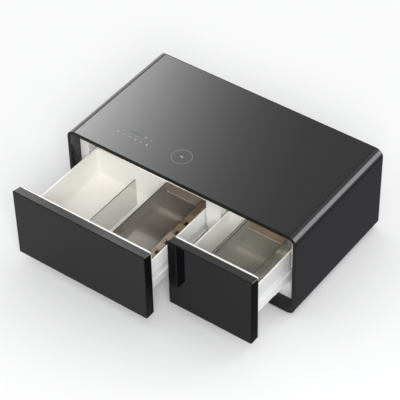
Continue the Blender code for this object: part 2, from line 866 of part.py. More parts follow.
def drawer_front(side, face_y, body):
    low, high = front_span(side)
    face = rounded(low, front_low, high, front_high, front_corner_radius)
    glass_end = face_y + front_glass_thickness
    body.append(drawn_out(f"{side}_front_glass", (face,), face_y, glass_end, "Y", black_glass))
    start = glass_end + seat_gap
    end = face_y + front_depth
    slope = front_slope_drop / front_depth
    start_high = front_high - (start - face_y) * slope
    under = front_low - cut_overrun
    core = drawn_out(f"{side}_front_core",
                     (((start, under), (end, under), (end, front_back_high), (start, start_high)),),
                     low - cut_overrun, high + cut_overrun, "X", black_plastic)
    shape = drawn_out(f"{side}_front_shape", (face,), face_y, end + cut_overrun, "Y", black_plastic,
                      helpers)
    combine(core, shape, "INTERSECT")
    ease_edges(core, core_ease)
    body.append(core)
    inset = inner_panel_inset
    back_face = rounded(low + inset, front_low + inset, high - inset,
                        front_back_high - inner_panel_drop, front_corner_radius)
    panel_start = end + seat_gap
    panel = drawn_out(f"{side}_inner_panel", (back_face,), panel_start,
                      panel_start + inner_panel_depth, "Y", white_plastic)
    ease_edges(panel, inner_panel_ease)
    body.append(panel)


def tub(side, face_y, body):
    low, high = tub_span(side)
    start = face_y + tub_front_offset
    end = start + tub_depth[side]
    step = side_profile_thickness + seat_gap
    ledge = profile_high + seat_gap
    outline = ((low, rim_z), (low, ledge), (low + step, ledge), (low + step, tub_low),
               (high - step, tub_low), (high - step, ledge), (high, ledge), (high, rim_z))
    shell = drawn_out(f"{side}_tub", (outline,), start, end, "Y", white_plastic)
    space = drawn_out(f"{side}_tub_space",
                      (rounded(low + tub_wall, start + tub_wall, high - tub_wall, end - tub_wall,
                               tub_corner_radius),),
                      tub_low + tub_floor, rim_z + cut_overrun, "Z", white_plastic, helpers)
    combine(shell, space, "DIFFERENCE")
    wall_x = high - tub_wall
    first = start + tub_wall + tray_rim_gap + tray_setback
    last = end - tub_wall - tray_rim_gap - tray_setback
    ledge_top = rim_z - tray_flange - seat_gap
    ledges = []
    for span_start, span_end in ledge_spans(side, first, last):
        ledges.append(block("ledge", (wall_x - tray_ledge_width, span_start,
                                      ledge_top - tray_ledge_height),
                            (wall_x + tub_wall / 2, span_end, ledge_top), white_plastic, helpers))
    combine(shell, merged(f"{side}_tray_ledge", ledges), "UNION")
    body.append(shell)


def notch_spots(tray_start):
    return [tray_start + tab_first + tab_pitch * index for index in range(tab_count)]


def ledge_spans(side, first, last):
    """Stretches of the ledge under a tray's flange, which the left tray's notches leave open"""
    if side == "right":
        return [(first, last)]
    spans = []
    begin = first
    for spot in notch_spots(first - tray_setback):
        spans.append((begin, spot - tab_notch / 2))
        begin = spot + tab_notch / 2
    spans.append((begin, last))
    return spans


tray_setback = tub_corner_radius + tray_rim_gap


def channel(wall_x, inward, height, middle_z, depth):
    """Outline of a runner's steel channel, with its web at wall_x and its lips pointing inward"""
    sheet = runner_sheet
    half = height / 2
    tip = wall_x + inward * depth
    web = wall_x + inward * sheet
    return ((wall_x, middle_z - half), (tip, middle_z - half), (tip, middle_z - half + sheet),
            (web, middle_z - half + sheet), (web, middle_z + half - sheet),
            (tip, middle_z + half - sheet), (tip, middle_z + half), (wall_x, middle_z + half))


def runners(side, face_y, drawer_body, runner_body):
    """Cabinet channel, sliding middle channel and the drawer's side profile, on both sides"""
    tub_edges = tub_span(side)
    opening_edges = opening_span(side)
    length = tub_depth[side] - 2 * runner_end_gap
    tub_start = face_y + tub_front_offset
    closed_start = front_y + closed_recess + tub_front_offset
    middle_z = tub_low + runner_drop + runner_height / 2
    inner_height = runner_height - 2 * (runner_sheet + runner_play)
    bar_height = inner_height - 2 * (runner_sheet + runner_play)
    for index, (hand, inward) in enumerate((("left", 1), ("right", -1))):
        wall_x = opening_edges[index] + inward * seat_gap
        first = frame_y + runner_end_gap
        drawn_out(f"{side}_cabinet_rail_{hand}",
                  (channel(wall_x, inward, runner_height, middle_z, runner_reach),),
                  first, closed_start + length, "Y", steel)
        web_x = wall_x + inward * (runner_sheet + runner_play)
        shift = (face_y - front_y - closed_recess) / 2
        middle_rail = drawn_out(f"{side}_middle_rail_{hand}",
                                (channel(web_x, inward, inner_height, middle_z, runner_reach),),
                                first + shift, closed_start + length + shift, "Y", steel)
        runner_body.append(middle_rail)
        plate_in = tub_edges[index] + inward * side_profile_thickness
        plate_out = tub_edges[index]
        bar_out = web_x + inward * (runner_sheet + runner_play)
        half = bar_height / 2
        outline = ((plate_in, tub_low), (plate_out, tub_low), (plate_out, middle_z - half),
                   (bar_out, middle_z - half), (bar_out, middle_z + half), (plate_out, middle_z + half),
                   (plate_out, profile_high), (plate_in, profile_high))
        profile = drawn_out(f"{side}_side_profile_{hand}", (outline,),
                            tub_start + runner_end_gap, tub_start + runner_end_gap + length, "Y",
                            white_paint)
        drawer_body.append(profile)


def divider(right_x, start, end, body):
    body.append(block("left_divider", (right_x - divider_thickness, start + tub_wall + tray_rim_gap,
                                       tub_low + tub_floor + seat_gap),
                      (right_x, end - tub_wall - divider_back_room, rim_z - divider_drop), smoky_plastic))


def tray(name, low_x, wall_x, flange_width, start, end, notched, body):
    """A tray whose flange lies on the ledge of the tub's wall at wall_x"""
    under = rim_z - tray_flange
    floor = rim_z - tray_height
    flange_end = wall_x - seat_gap
    bowl_end = wall_x - flange_width
    shell = drawn_out(name, (rounded(low_x, start, bowl_end, end, tub_corner_radius),), floor, rim_z,
                      "Z", smoky_plastic)
    flange = block(f"{name}_flange", (bowl_end - tray_wall / 2, start + tray_setback, under),
                   (flange_end, end - tray_setback, rim_z), smoky_plastic, helpers)
    combine(shell, flange, "UNION")
    space = drawn_out(f"{name}_space",
                      (rounded(low_x + tray_wall, start + tray_wall, bowl_end - tray_wall,
                               end - tray_wall, tray_corner_radius),),
                      floor + tray_wall, rim_z + cut_overrun, "Z", smoky_plastic, helpers)
    combine(shell, space, "DIFFERENCE")
    if notched:
        gaps = []
        for spot in notch_spots(start):
            gaps.append(block("notch", (flange_end - tab_notch_depth, spot - tab_notch / 2,
                                        under - tray_flange),
                              (flange_end + cut_overrun, spot + tab_notch / 2, rim_z + tray_flange),
                              smoky_plastic, helpers))
        combine(shell, merged(f"{name}_notches", gaps), "DIFFERENCE")
    body.append(shell)


def drawer(side):
    face_y = front_y - opened[side]
    low, high = tub_span(side)
    start = face_y + tub_front_offset
    end = start + tub_depth[side]
    body = []
    runner_body = []
    drawer_front(side, face_y, body)
    gasket(side, face_y, body)
    tub(side, face_y, body)
    runners(side, face_y, body, runner_body)
    if side == "left":
        divider(high - left_tray_width - middle_bay_width, start, end, body)
        tray("left_tray", high - left_tray_width, high - tub_wall, left_flange_width,
             start + tub_wall + tray_rim_gap, end - tub_wall - tray_rim_gap, True, body)
    else:
        tray("right_tray", high - right_tray_width, high - tub_wall, right_flange_width,
             start + tub_wall + tray_rim_gap, end - tub_wall - tray_rim_gap, False, body)
    carried_by(carrier(f"{side}_drawer", ((low + high) / 2, face_y, front_low)), body)
    carried_by(carrier(f"{side}_runner", ((low + high) / 2, face_y, tub_low)), runner_body)


def build():
    clear_scene()
    outer_sleeve()
    top_glass()
    under_glass()
    feet()
    front_frame()
    liner("left")
    liner("right")
    left_back, right_back = insulation()
    cold_plate()
    evaporator()
    evaporator_cover()
    fan_y = liner_end("left") - plenum_depth + seat_gap + fan_depth / 2
    fan("evaporator_fan", (fan_centre_x(), fan_y, (opening_low + opening_high) / 2),
        fan_size, fan_depth, "Y")
    compartment_lights()
    rear_cover()
    power_inlet()
    control_box()
    machine_bay(right_back)
    drawer("left")
    drawer("right")


build()
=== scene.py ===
import math

import bmesh
import bpy
from mathutils import Matrix, Vector

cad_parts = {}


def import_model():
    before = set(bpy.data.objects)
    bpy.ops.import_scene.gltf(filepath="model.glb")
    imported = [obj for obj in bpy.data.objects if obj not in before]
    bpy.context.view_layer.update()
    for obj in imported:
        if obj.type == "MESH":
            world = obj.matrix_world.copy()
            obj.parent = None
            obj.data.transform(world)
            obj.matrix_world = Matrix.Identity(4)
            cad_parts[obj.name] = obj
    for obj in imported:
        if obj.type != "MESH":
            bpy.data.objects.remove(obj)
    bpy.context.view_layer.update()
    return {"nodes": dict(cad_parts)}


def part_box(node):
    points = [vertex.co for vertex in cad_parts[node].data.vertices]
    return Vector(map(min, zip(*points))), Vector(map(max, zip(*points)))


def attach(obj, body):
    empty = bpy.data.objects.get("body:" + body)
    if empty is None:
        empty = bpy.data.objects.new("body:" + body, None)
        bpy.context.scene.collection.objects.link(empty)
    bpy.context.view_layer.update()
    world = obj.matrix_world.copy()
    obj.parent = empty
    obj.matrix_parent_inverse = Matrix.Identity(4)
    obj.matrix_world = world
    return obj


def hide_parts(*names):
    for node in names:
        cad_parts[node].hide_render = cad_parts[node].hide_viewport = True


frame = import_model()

# Lengths are in metres and angles in degrees
# Steps of the round stretches, tolerances and shared gaps
arc_steps = 10
fine_steps = 24
coarse_steps = 4
weld_room = 0.00004
merge_room = 0.00001
flat_angle = 0.2
crease_angle = 32.0
lofted_crease = 40.0
ease_segments = 2
small_ease = 0.0006
thin_ease = 0.0004
seat_gap = 0.0003
cut_room = 0.01

# How far a face's normal leans to a side before it counts as turned that way
facing_share = 0.9
steep_share = 0.7
tilted_share = 0.3
slight_share = 0.2
level_share = 0.1
fold_share = 0.95

# Sleeve, with the pockets in its top and a painted highlight along its upper corners: a band of stronger
# gloss
sleeve_corner = 0.038
opening_corner = 0.021
sleeve_ease = 0.0014
pocket_gap = 0.0005
pocket_steps = 48
lip_depth = 0.01
highlight_band_start = 33.75
highlight_band_end = 60.0

# Glass top
glass_corner = 0.002
glass_ease = 0.0009
glass_ease_steps = 3
glass_seam = 0.0024
glass_crease = 50.0

# Printed marks over the touch module and the charging coil, lifted by a faint painted glow
mark_gap = 0.00002
mark_height = 0.00012
mark_stroke = 0.0011
mark_size = 0.0030
mark_end_share = 0.98
ring_steps = 40
key_columns = 6
key_pitch = 0.0312
front_row = 0.0183
back_row = 0.0157
line_length = 0.128
charging_radius = 0.0452
charging_stroke = 0.0021
bolt_length = 0.0090
bolt_width = 0.0062
bolt_shares = ((-1.0, 0.12), (0.15, 0.62), (0.02, 0.10), (1.0, -0.12), (-0.15, -0.62), (-0.02, -0.10))
window_length = 0.066
window_width = 0.014
window_corner = 0.002

# Drawer fronts
front_corner = 0.0065
front_ease = 0.0036
front_ease_steps = 5
back_ease = 0.0008
slope_foot = 0.0035
panel_ease = 0.0022
panel_front_ease = 0.00088

# Tubs, whose lower part stands back, and the ledges in them that carry the trays
tub_wall = 0.007
tub_floor = 0.006
tub_outer_radius = 0.005
tub_inner_radius = 0.024
tub_fillet = 0.024
tub_fillet_steps = 7
tub_foot_ease = 0.003
tub_foot_steps = 3
tub_draft = 0.0015
tub_step = 0.0043
tub_step_height = 0.0853
tub_side_band = 0.005
rim_round = 0.0026
ledge_end = 0.015
ledge_drop = 0.0033
ledge_height = 0.008
ledge_reach = 0.010
ledge_root = 0.003

# Trays, with the notches, the dark blocks of painted shade in them and the tabs of the left one's flange
tray_wall = 0.0026
tray_flange = 0.0028
tray_fillet = 0.005
tray_fillet_steps = 5
tray_radius = 0.007
tray_drop = 0.055
tray_setback = 0.0012
tray_skin = 0.0002
tray_back_band = 0.01
left_flange = 0.036
right_flange = 0.044
flange_drop = 0.0008
notch_count = 4
notch_first = 0.0815
notch_pitch = 0.0685
notch_width = 0.022
notch_depth = 0.015
notch_corner = 0.003
notch_shade_gap = 0.0005
notch_shade_height = 0.0008
notch_shade_ease = 0.0002
tab_length = 0.040
tab_height = 0.0026
tab_corner = 0.004
tab_inner_gap = 0.003
tab_outer_gap = 0.0015

# Beads on the trays' left edges, and the divider
bead_inset = 0.004
bead_width = 0.0024
bead_pitch = 0.0095
bead_depth = 0.0036
bead_rise = 0.0004
strip_bottom = 0.0026
strip_top = 0.0008
divider_corner = 0.006
divider_skin = 0.0002
divider_edge_depth = 0.0016
divider_edge_rise = 0.0004

# Trims and ribs of the front frame, and the screws of the rear cover
liner_wall = 0.0025
trim_clearance = 0.0045
trim_front = 0.0006
trim_back = 0.0046
rail_room_below = 0.012
rail_room_above = 0.013
rib_spans = ((-0.530, 0.090), (0.190, 0.562))
rib_count = 4
rib_first = 0.062
rib_pitch = 0.0125
rib_height = 0.0042
rib_radius = 0.0020
rib_rise = 0.0016
rib_gap = 0.00015
rib_ease = 0.0005
screw_radius = 0.0034
screw_height = 0.0016
screw_sink = 0.0001
screw_inset = 0.016
screw_end = 0.030
screw_step = 0.300
screw_shares = ((1.0, 0.0), (1.0, 0.35), (0.86, 0.78), (0.62, 1.0), (0.44, 1.0), (0.40, 0.45))

# Camera, with its picture's width and focal length in pixels
camera_yaw = 37.058
camera_pitch = 43.203
camera_roll = -1.343
camera_spot = (3.2669, -4.3032, 5.3306)
camera_lens = 154.44
camera_sensor = 36.0
camera_end = 60.0
picture_pixels = 400
focal_pixels = camera_lens / camera_sensor * picture_pixels

# Floor, lamps and the cards that only glossy reflections see
floor_reach = 9.0
floor_depth = 0.05
lamp_size = 6.0
lamp_target = (0.0, 0.0, 0.2)
key_spot = (8.3, -9.6, 9.8)
key_power = 1120.0
back_spot = (5.6, 9.9, 11.2)
back_power = 150.0
seen_strength = 1.0
fill_strength = 0.82
card_reach = 10.5
card_left = -0.5735
card_right = 1.4
card_front = -0.8
card_back = 0.72
card_dark_pixels = 180.0
card_bright_pixels = -180.0
card_low_pixels = -30.0
card_high_pixels = 150.0
card_low_share = 0.76
card_high_share = 1.12
card_power = 3.0
card_gain = 20.6
card_base = 1.0
arc_card_x = 0.58
arc_card_z = 0.44
arc_card_reach = 4.0
arc_card_near = 2.2
arc_card_far = 4.1
right_arc = (11.0, 63.0)
right_arc_strength = 2.05
left_arc = (133.0, 180.0)
left_arc_strength = 2.2
side_card_gap = 0.004
side_card_height = 0.002
side_card_right = 2.6
side_card_front = -1.2
side_card_back = 2.6
side_card_strength = 0.20

# Scale and detail of the materials' noise, depth of their relief and roughness of their coat
cloud_scale = 9.0
cloud_detail = 3.0
grain_detail = 2.0
relief_depth = 0.0004
coat_roughness = 0.03

nodes = frame["nodes"]
sides = ("left", "right")
planes = {"X": (1, 2), "Y": (0, 2), "Z": (0, 1)}
materials = {}


# Materials, all of them procedural
def shader(name, colour, roughness, metallic=0.0, specular=0.5, coat=0.0, alpha=1.0, mottle=0.06,
           grain=420.0, rough_spread=0.06, bump=0.0, glow=0.0, glow_colour=(1.0, 1.0, 1.0)):
    material = bpy.data.materials.new(name)
    material.use_nodes = True
    tree = material.node_tree
    tree.nodes.clear()
    link = tree.links.new
    out = tree.nodes.new("ShaderNodeOutputMaterial")
    body = tree.nodes.new("ShaderNodeBsdfPrincipled")
    place = tree.nodes.new("ShaderNodeTexCoord")
    cloud = tree.nodes.new("ShaderNodeTexNoise")
    tones = tree.nodes.new("ShaderNodeMix")
    polish = tree.nodes.new("ShaderNodeMapRange")
    cloud.inputs["Scale"].default_value = cloud_scale
    cloud.inputs["Detail"].default_value = cloud_detail
    # Inputs 6 and 7 of the Mix node are its two colours, and output 2 is their blend
    tones.data_type = "RGBA"
    darker = [channel * (1.0 - mottle) for channel in colour]
    lighter = [min(channel * (1.0 + mottle), 1.0) for channel in colour]
    tones.inputs[6].default_value = (*darker, 1.0)
    tones.inputs[7].default_value = (*lighter, 1.0)
    polish.inputs["To Min"].default_value = max(roughness - rough_spread, 0.0)
    polish.inputs["To Max"].default_value = min(roughness + rough_spread, 1.0)
    body.inputs["Metallic"].default_value = metallic
    body.inputs["Specular IOR Level"].default_value = specular
    body.inputs["Coat Weight"].default_value = coat
    body.inputs["Coat Roughness"].default_value = coat_roughness
    body.inputs["Alpha"].default_value = alpha
    if glow:
        body.inputs["Emission Color"].default_value = (*glow_colour, 1.0)
        body.inputs["Emission Strength"].default_value = glow
    link(place.outputs["Object"], cloud.inputs["Vector"])
    link(cloud.outputs["Fac"], tones.inputs[0])
    link(tones.outputs[2], body.inputs["Base Color"])
    link(cloud.outputs["Fac"], polish.inputs["Value"])
    link(polish.outputs["Result"], body.inputs["Roughness"])
    if bump:
        fine = tree.nodes.new("ShaderNodeTexNoise")
        relief = tree.nodes.new("ShaderNodeBump")
        fine.inputs["Scale"].default_value = grain
        fine.inputs["Detail"].default_value = grain_detail
        relief.inputs["Strength"].default_value = bump
        relief.inputs["Distance"].default_value = relief_depth
        link(place.outputs["Object"], fine.inputs["Vector"])
        link(fine.outputs["Fac"], relief.inputs["Height"])
        link(relief.outputs["Normal"], body.inputs["Normal"])
    link(body.outputs["BSDF"], out.inputs["Surface"])
    materials[name] = material


# Glossy and satin blacks, each with its colour, roughness, specular level and spread of roughness
for name, colour, roughness, specular, spread in (
        ("top_gloss", (0.0060, 0.0060, 0.0066), 0.025, 0.31, 0.01),
        # The right front's copy, darker and with less specular, is painted shade
        ("front_gloss_left", (0.0045, 0.0045, 0.0052), 0.030, 0.19, 0.01),
        ("front_gloss_right", (0.0042, 0.0042, 0.0050), 0.030, 0.15, 0.01),
        ("screen_glass", (0.006, 0.026, 0.024), 0.03, 0.235, 0.01),
        ("lacquer", (0.0075, 0.0070, 0.0100), 0.06, 0.5, 0.015),
        # The right slope's copy, with less specular, is painted shade
        ("slope_satin_left", (0.0040, 0.0040, 0.0045), 0.14, 0.47, 0.02),
        ("slope_satin_right", (0.0040, 0.0040, 0.0045), 0.14, 0.33, 0.02),
        # Duller black for painted shade on the fronts' sides and undersides
        ("painted_shade_black", (0.0040, 0.0043, 0.0054), 0.42, 0.04, 0.05),
        ("lip_black", (0.016, 0.0156, 0.0148), 0.34, 0.10, 0.05),
        # Black for the painted shade in the left tray's notches
        ("notch_shade_black", (0.0035, 0.0030, 0.0050), 0.40, 0.12, 0.04)):
    shader(name, colour, roughness, specular=specular, rough_spread=spread)
# Stronger gloss for the painted highlight band on the sleeve's upper corners
shader("painted_highlight_gloss", (0.0075, 0.0070, 0.0100), 0.10, specular=1.0, coat=1.0, rough_spread=0.015)
# Lighter metallic grey for a painted glint on the fronts' slope corners
shader("painted_slope_glint", (0.110, 0.110, 0.112), 0.30, metallic=0.5, rough_spread=0.03)

# White plastics, each with its colour, roughness and specular level
for name, colour, roughness, specular in (
        ("tub_white", (0.94, 0.925, 0.885), 0.38, 0.42),
        # The outer side walls in a lighter, neutral copy of the tub white, painted light
        ("tub_outer", (0.94, 0.94, 0.93), 0.38, 0.42),
        # The right tub's right wall in grey, painted shade
        ("tub_side", (0.70, 0.705, 0.70), 0.38, 0.42),
        ("panel_white", (0.90, 0.895, 0.88), 0.36, 0.42),
        ("frame_white", (0.92, 0.915, 0.895), 0.40, 0.40)):
    shader(name, colour, roughness, specular=specular, mottle=0.012, bump=0.04)

# Smoky plastics of the trays, each with its colour, roughness, specular level and opacity
for name, colour, roughness, specular, alpha in (
        ("smoke", (0.085, 0.056, 0.040), 0.14, 0.50, 0.54),
        ("smoke_grey", (0.110, 0.103, 0.080), 0.14, 0.50, 0.42),
        ("smoke_flange", (0.235, 0.165, 0.105), 0.16, 0.45, 0.62),
        ("smoke_side", (0.200, 0.195, 0.165), 0.16, 0.45, 0.60),
        # Lighter, browner copies of the smoke for the back walls, painted light
        ("smoke_back_left", (0.400, 0.320, 0.245), 0.14, 0.45, 0.56),
        ("smoke_back_right", (0.400, 0.275, 0.165), 0.14, 0.45, 0.60),
        # Lighter smoke for a painted highlight on the trays' folds
        ("smoke_fold_highlight", (0.340, 0.310, 0.270), 0.20, 0.45, 0.55),
        ("smoke_bead", (0.020, 0.017, 0.012), 0.20, 0.30, 0.88),
        ("smoke_strip", (0.34, 0.33, 0.29), 0.18, 0.45, 0.45),
        ("smoke_tab", (0.260, 0.190, 0.115), 0.20, 0.45, 0.72),
        ("smoke_rim", (0.022, 0.017, 0.012), 0.14, 0.45, 0.78)):
    shader(name, colour, roughness, specular=specular, alpha=alpha, rough_spread=0.04)
shader("clear", (0.16, 0.16, 0.14), 0.10, specular=0.50, alpha=0.20, rough_spread=0.03)
shader("clear_edge", (0.014, 0.013, 0.010), 0.24, specular=0.30, alpha=0.92, rough_spread=0.03)

# Metals, rubber, foam and the other finishes
shader("steel_white", (0.80, 0.80, 0.80), 0.38, specular=0.45, mottle=0.02, bump=0.03)
shader("seal_grey", (0.50, 0.49, 0.47), 0.62, specular=0.30, mottle=0.05, bump=0.10)
shader("zinc", (0.72, 0.73, 0.74), 0.40, metallic=0.35, mottle=0.06, bump=0.05, grain=160.0)
shader("bright_aluminium", (0.74, 0.75, 0.76), 0.30, metallic=0.95, mottle=0.05, bump=0.05)
shader("copper_pipe", (0.72, 0.37, 0.22), 0.30, metallic=0.95, mottle=0.12, bump=0.05)
shader("rubber", (0.018, 0.018, 0.018), 0.72, specular=0.25, bump=0.20)
shader("foam", (0.66, 0.60, 0.42), 0.90, specular=0.15, mottle=0.10, bump=0.5)
shader("board", (0.020, 0.105, 0.050), 0.45, specular=0.40, mottle=0.15)
shader("black_moulding", (0.022, 0.022, 0.023), 0.52, specular=0.32, bump=0.16)
shader("shell_black", (0.016, 0.016, 0.017), 0.40, specular=0.40, bump=0.10)
shader("screw_black", (0.030, 0.030, 0.031), 0.34, metallic=0.6, specular=0.40, bump=0.05)
shader("lamp_cover", (0.90, 0.80, 0.60), 0.40, specular=0.40, mottle=0.02, glow=4.5,
       glow_colour=(1.0, 0.93, 0.84))
# Print with a faint glow, painted light
shader("print_white_painted_glow", (0.60, 0.60, 0.58), 0.50, specular=0.30, glow=0.11)
shader("print_grey_painted_glow", (0.20, 0.20, 0.20), 0.50, specular=0.30, glow=0.03)
shader("ground", (0.905, 0.908, 0.915), 0.9, specular=0.0, mottle=0.002, rough_spread=0.0)


# Steps of a quarter round, each as a share that falls from 1 to 0 and one that rises from 0 to 1
def quarter(steps=coarse_steps):
    turns = [math.radians(90.0 * step / steps) for step in range(steps + 1)]
    return [(1 - math.sin(turn), 1 - math.cos(turn)) for turn in turns]


# Points of a rounded corner, from a first direction on
def corner_points(middle_u, middle_v, radius, first, steps):
    turns = [math.radians(first + 90.0 * step / steps) for step in range(steps + 1)]
    return [(middle_u + radius * math.cos(turn), middle_v + radius * math.sin(turn)) for turn in turns]


# Outline of a rounded rectangle, anticlockwise from its lowest right corner
def rounded(low_u, low_v, high_u, high_v, radius, steps=arc_steps):
    points = []
    corners = ((high_u - radius, low_v + radius, -90.0), (high_u - radius, high_v - radius, 0.0),
               (low_u + radius, high_v - radius, 90.0), (low_u + radius, low_v + radius, 180.0))
    for middle_u, middle_v, first in corners:
        points += corner_points(middle_u, middle_v, radius, first, steps)
    return points


# Outline of a rectangle with only its two right corners rounded
def tongue(low_u, low_v, high_u, high_v, radius, steps=arc_steps):
    lower = corner_points(high_u - radius, low_v + radius, radius, -90.0, steps)
    upper = corner_points(high_u - radius, high_v - radius, radius, 0.0, steps)
    return [(low_u, high_v), (low_u, low_v)] + lower + upper


def circle(middle_u, middle_v, radius, steps=fine_steps):
    turns = [2 * math.pi * step / steps for step in range(steps)]
    return [(middle_u + radius * math.cos(turn), middle_v + radius * math.sin(turn)) for turn in turns]


# Rounded outline of a box seen along an axis, drawn in by an inset
def within(low, high, axis, inset, radius, steps=arc_steps):
    u, v = planes[axis]
    return rounded(low[u] + inset, low[v] + inset, high[u] - inset, high[v] - inset, radius, steps)


# An outline in the plane across an axis, at a place along it
def at(outline, axis, spot):
    if axis == "X":
        return [(spot, u, v) for u, v in outline]
    if axis == "Y":
        return [(u, spot, v) for u, v in outline]
    return [(u, v, spot) for u, v in outline]


def ring_in(low, high, axis, spot, inset, radius, steps=arc_steps):
    return at(within(low, high, axis, inset, radius, steps), axis, spot)


# A finished bmesh as an object of the scene
def as_object(name, shape):
    mesh = bpy.data.meshes.new(name)
    shape.to_mesh(mesh)
    shape.free()
    thing = bpy.data.objects.new(name, mesh)
    bpy.context.scene.collection.objects.link(thing)
    return thing


# A skin through rings of equal count, capped at both ends, or closed into a loop
def loft(name, rings, closed=False):
    shape = bmesh.new()
    loops = [[shape.verts.new(point) for point in ring] for ring in rings]
    count = len(loops[0])
    pairs = list(zip(loops, loops[1:]))
    if closed:
        pairs.append((loops[-1], loops[0]))
    for first, second in pairs:
        for index in range(count):
            after = (index + 1) % count
            shape.faces.new((first[index], first[after], second[after], second[index]))
    if not closed:
        shape.faces.new(list(reversed(loops[0])))
        shape.faces.new(loops[-1])
    bmesh.ops.recalc_face_normals(shape, faces=shape.faces)
    return as_object(name, shape)


def slab(name, outline, axis, low, high):
    return loft(name, (at(outline, axis, low), at(outline, axis, high)))


def block(name, low, high):
    outline = ((low[0], low[1]), (high[0], low[1]), (high[0], high[1]), (low[0], high[1]))
    return slab(name, outline, "Z", low[2], high[2])


# Several meshes as one object
def join(name, pieces):
    shape = bmesh.new()
    for piece in pieces:
        shape.from_mesh(piece.data)
        bpy.data.objects.remove(piece)
    return as_object(name, shape)


# Exact Boolean, done at once, after which the other piece is gone
def combine(thing, other, operation="DIFFERENCE"):
    modifier = thing.modifiers.new("cut", "BOOLEAN")
    modifier.operation = operation
    modifier.solver = "EXACT"
    modifier.object = other
    graph = bpy.context.evaluated_depsgraph_get()
    result = bpy.data.meshes.new_from_object(thing.evaluated_get(graph))
    thing.modifiers.remove(modifier)
    old = thing.data
    thing.data = result
    result.name = thing.name
    bpy.data.meshes.remove(old)
    bpy.data.objects.remove(other)
    shape = bmesh.new()
    shape.from_mesh(thing.data)
    bmesh.ops.remove_doubles(shape, verts=shape.verts, dist=merge_room)
    bmesh.ops.dissolve_limit(shape, angle_limit=math.radians(flat_angle), verts=shape.verts,
                             edges=shape.edges)
    shape.to_mesh(thing.data)
    shape.free()


# Smooth faces, with normals that keep the flats flat
def shade(thing):
    for face in thing.data.polygons:
        face.use_smooth = True
    flats = thing.modifiers.new("flats", "WEIGHTED_NORMAL")
    flats.keep_sharp = True


def smooth(thing, angle=crease_angle):
    shade(thing)
    thing.data.set_sharp_from_angle(angle=math.radians(angle))


# Rounded edges
def ease(thing, width):
    bevel = thing.modifiers.new("ease", "BEVEL")
    bevel.width = width
    bevel.segments = ease_segments
    bevel.limit_method = "ANGLE"
    bevel.angle_limit = math.radians(crease_angle)
    bevel.use_clamp_overlap = True
    shade(thing)


def finish_piece(thing, material, slot, body, *replaced):
    thing.data.materials.clear()
    thing.data.materials.append(materials[material])
    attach(thing, body)
    if replaced:
        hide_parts(*replaced)


# Another material on the faces that are chosen
def paint(thing, material, chosen):
    thing.data.materials.append(materials[material])
    last = len(thing.data.materials) - 1
    for face in thing.data.polygons:
        if chosen(face):
            face.material_index = last


# Finish and eased edges for a CAD node that stays shown
def dress(name, material, width):
    thing = nodes[name]
    extra = thing.data.attributes.get("custom_normal")
    if extra:
        thing.data.attributes.remove(extra)
    weld = thing.modifiers.new("weld", "WELD")
    weld.merge_threshold = weld_room
    thing.data.materials.clear()
    thing.data.materials.append(materials[material])
    if width:
        ease(thing, width)
    else:
        shade(thing)


# Black sleeve of the table, open at the front and back
def table_shell():
    low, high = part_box("outer_sleeve")
    frame_low, frame_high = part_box("front_frame")
    play = Vector((seat_gap, 0, seat_gap))
    hole_low = frame_low - play
    hole_high = frame_high + play

    def outer(spot, inset):
        return ring_in(low, high, "Y", spot, inset, sleeve_corner - inset, fine_steps)

    def inner(spot, inset):
        return ring_in(hole_low, hole_high, "Y", spot, -inset, opening_corner + inset, fine_steps)

    out_steps = quarter()
    back_steps = out_steps[::-1]
    rings = []
    for ring, end, way, steps in ((outer, low.y, 1, back_steps), (outer, high.y, -1, out_steps),
                                  (inner, high.y, -1, back_steps), (inner, low.y, 1, out_steps)):
        rings += [ring(end + way * sleeve_ease * fall, sleeve_ease * rise) for fall, rise in steps]
    shell = loft("table_shell", rings, closed=True)
    glass_low, glass_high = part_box("top_glass")
    seat = within(glass_low, glass_high, "Z", -glass_seam, glass_corner)
    combine(shell, slab("glass_seat", seat, "Z", glass_low.z - seat_gap, high.z + cut_room))
    touch_low, touch_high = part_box("touch_module")
    combine(shell, block("touch_pocket", touch_low - Vector((pocket_gap, pocket_gap, seat_gap)),
                         touch_high + Vector((pocket_gap, pocket_gap, cut_room))))
    coil_low, coil_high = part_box("charging_coil")
    middle = (coil_low + coil_high) / 2
    pocket = circle(middle.x, middle.y, (coil_high.x - coil_low.x) / 2 + pocket_gap, pocket_steps)
    combine(shell, slab("coil_pocket", pocket, "Z", coil_low.z - seat_gap, high.z + cut_room))
    smooth(shell)
    finish_piece(shell, "lacquer", "black_lacquer", "cabinet", "outer_sleeve")

    def on_lip(face):
        return face.normal.y < -tilted_share and face.center.y < low.y + lip_depth

    # Faces of the painted highlight band, turned between the band's two angles
    def on_highlight_band(face):
        slant = math.degrees(math.atan2(face.normal.z, abs(face.normal.x)))
        high_up = face.center.z > high.z - sleeve_corner
        return high_up and abs(face.normal.y) < level_share and highlight_band_start < slant < highlight_band_end

    paint(shell, "lip_black", on_lip)
    # A painted highlight: stronger gloss on a band of the upper corners, where the corner cards show
    paint(shell, "painted_highlight_gloss", on_highlight_band)


# Glass top with an eased upper edge
def top_plate():
    low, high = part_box("top_glass")
    rings = [ring_in(low, high, "Z", low.z, 0.0, glass_corner)]
    rings += [ring_in(low, high, "Z", high.z - glass_ease * fall, glass_ease * rise, glass_corner)
              for fall, rise in quarter(glass_ease_steps)]
    plate = loft("top_plate", rings)
    smooth(plate, glass_crease)
    finish_piece(plate, "top_gloss", "black_glass", "cabinet", "top_glass")


# Printed marks on the top: rings, and bars with round ends
def ring_mark(x, y, radius, stroke, z):
    wide = radius + stroke / 2
    narrow = radius - stroke / 2
    top = z + mark_height
    rings = [at(circle(x, y, reach, ring_steps), "Z", level)
             for reach, level in ((wide, z), (wide, top), (narrow, top), (narrow, z))]
    return loft("mark", rings, closed=True)


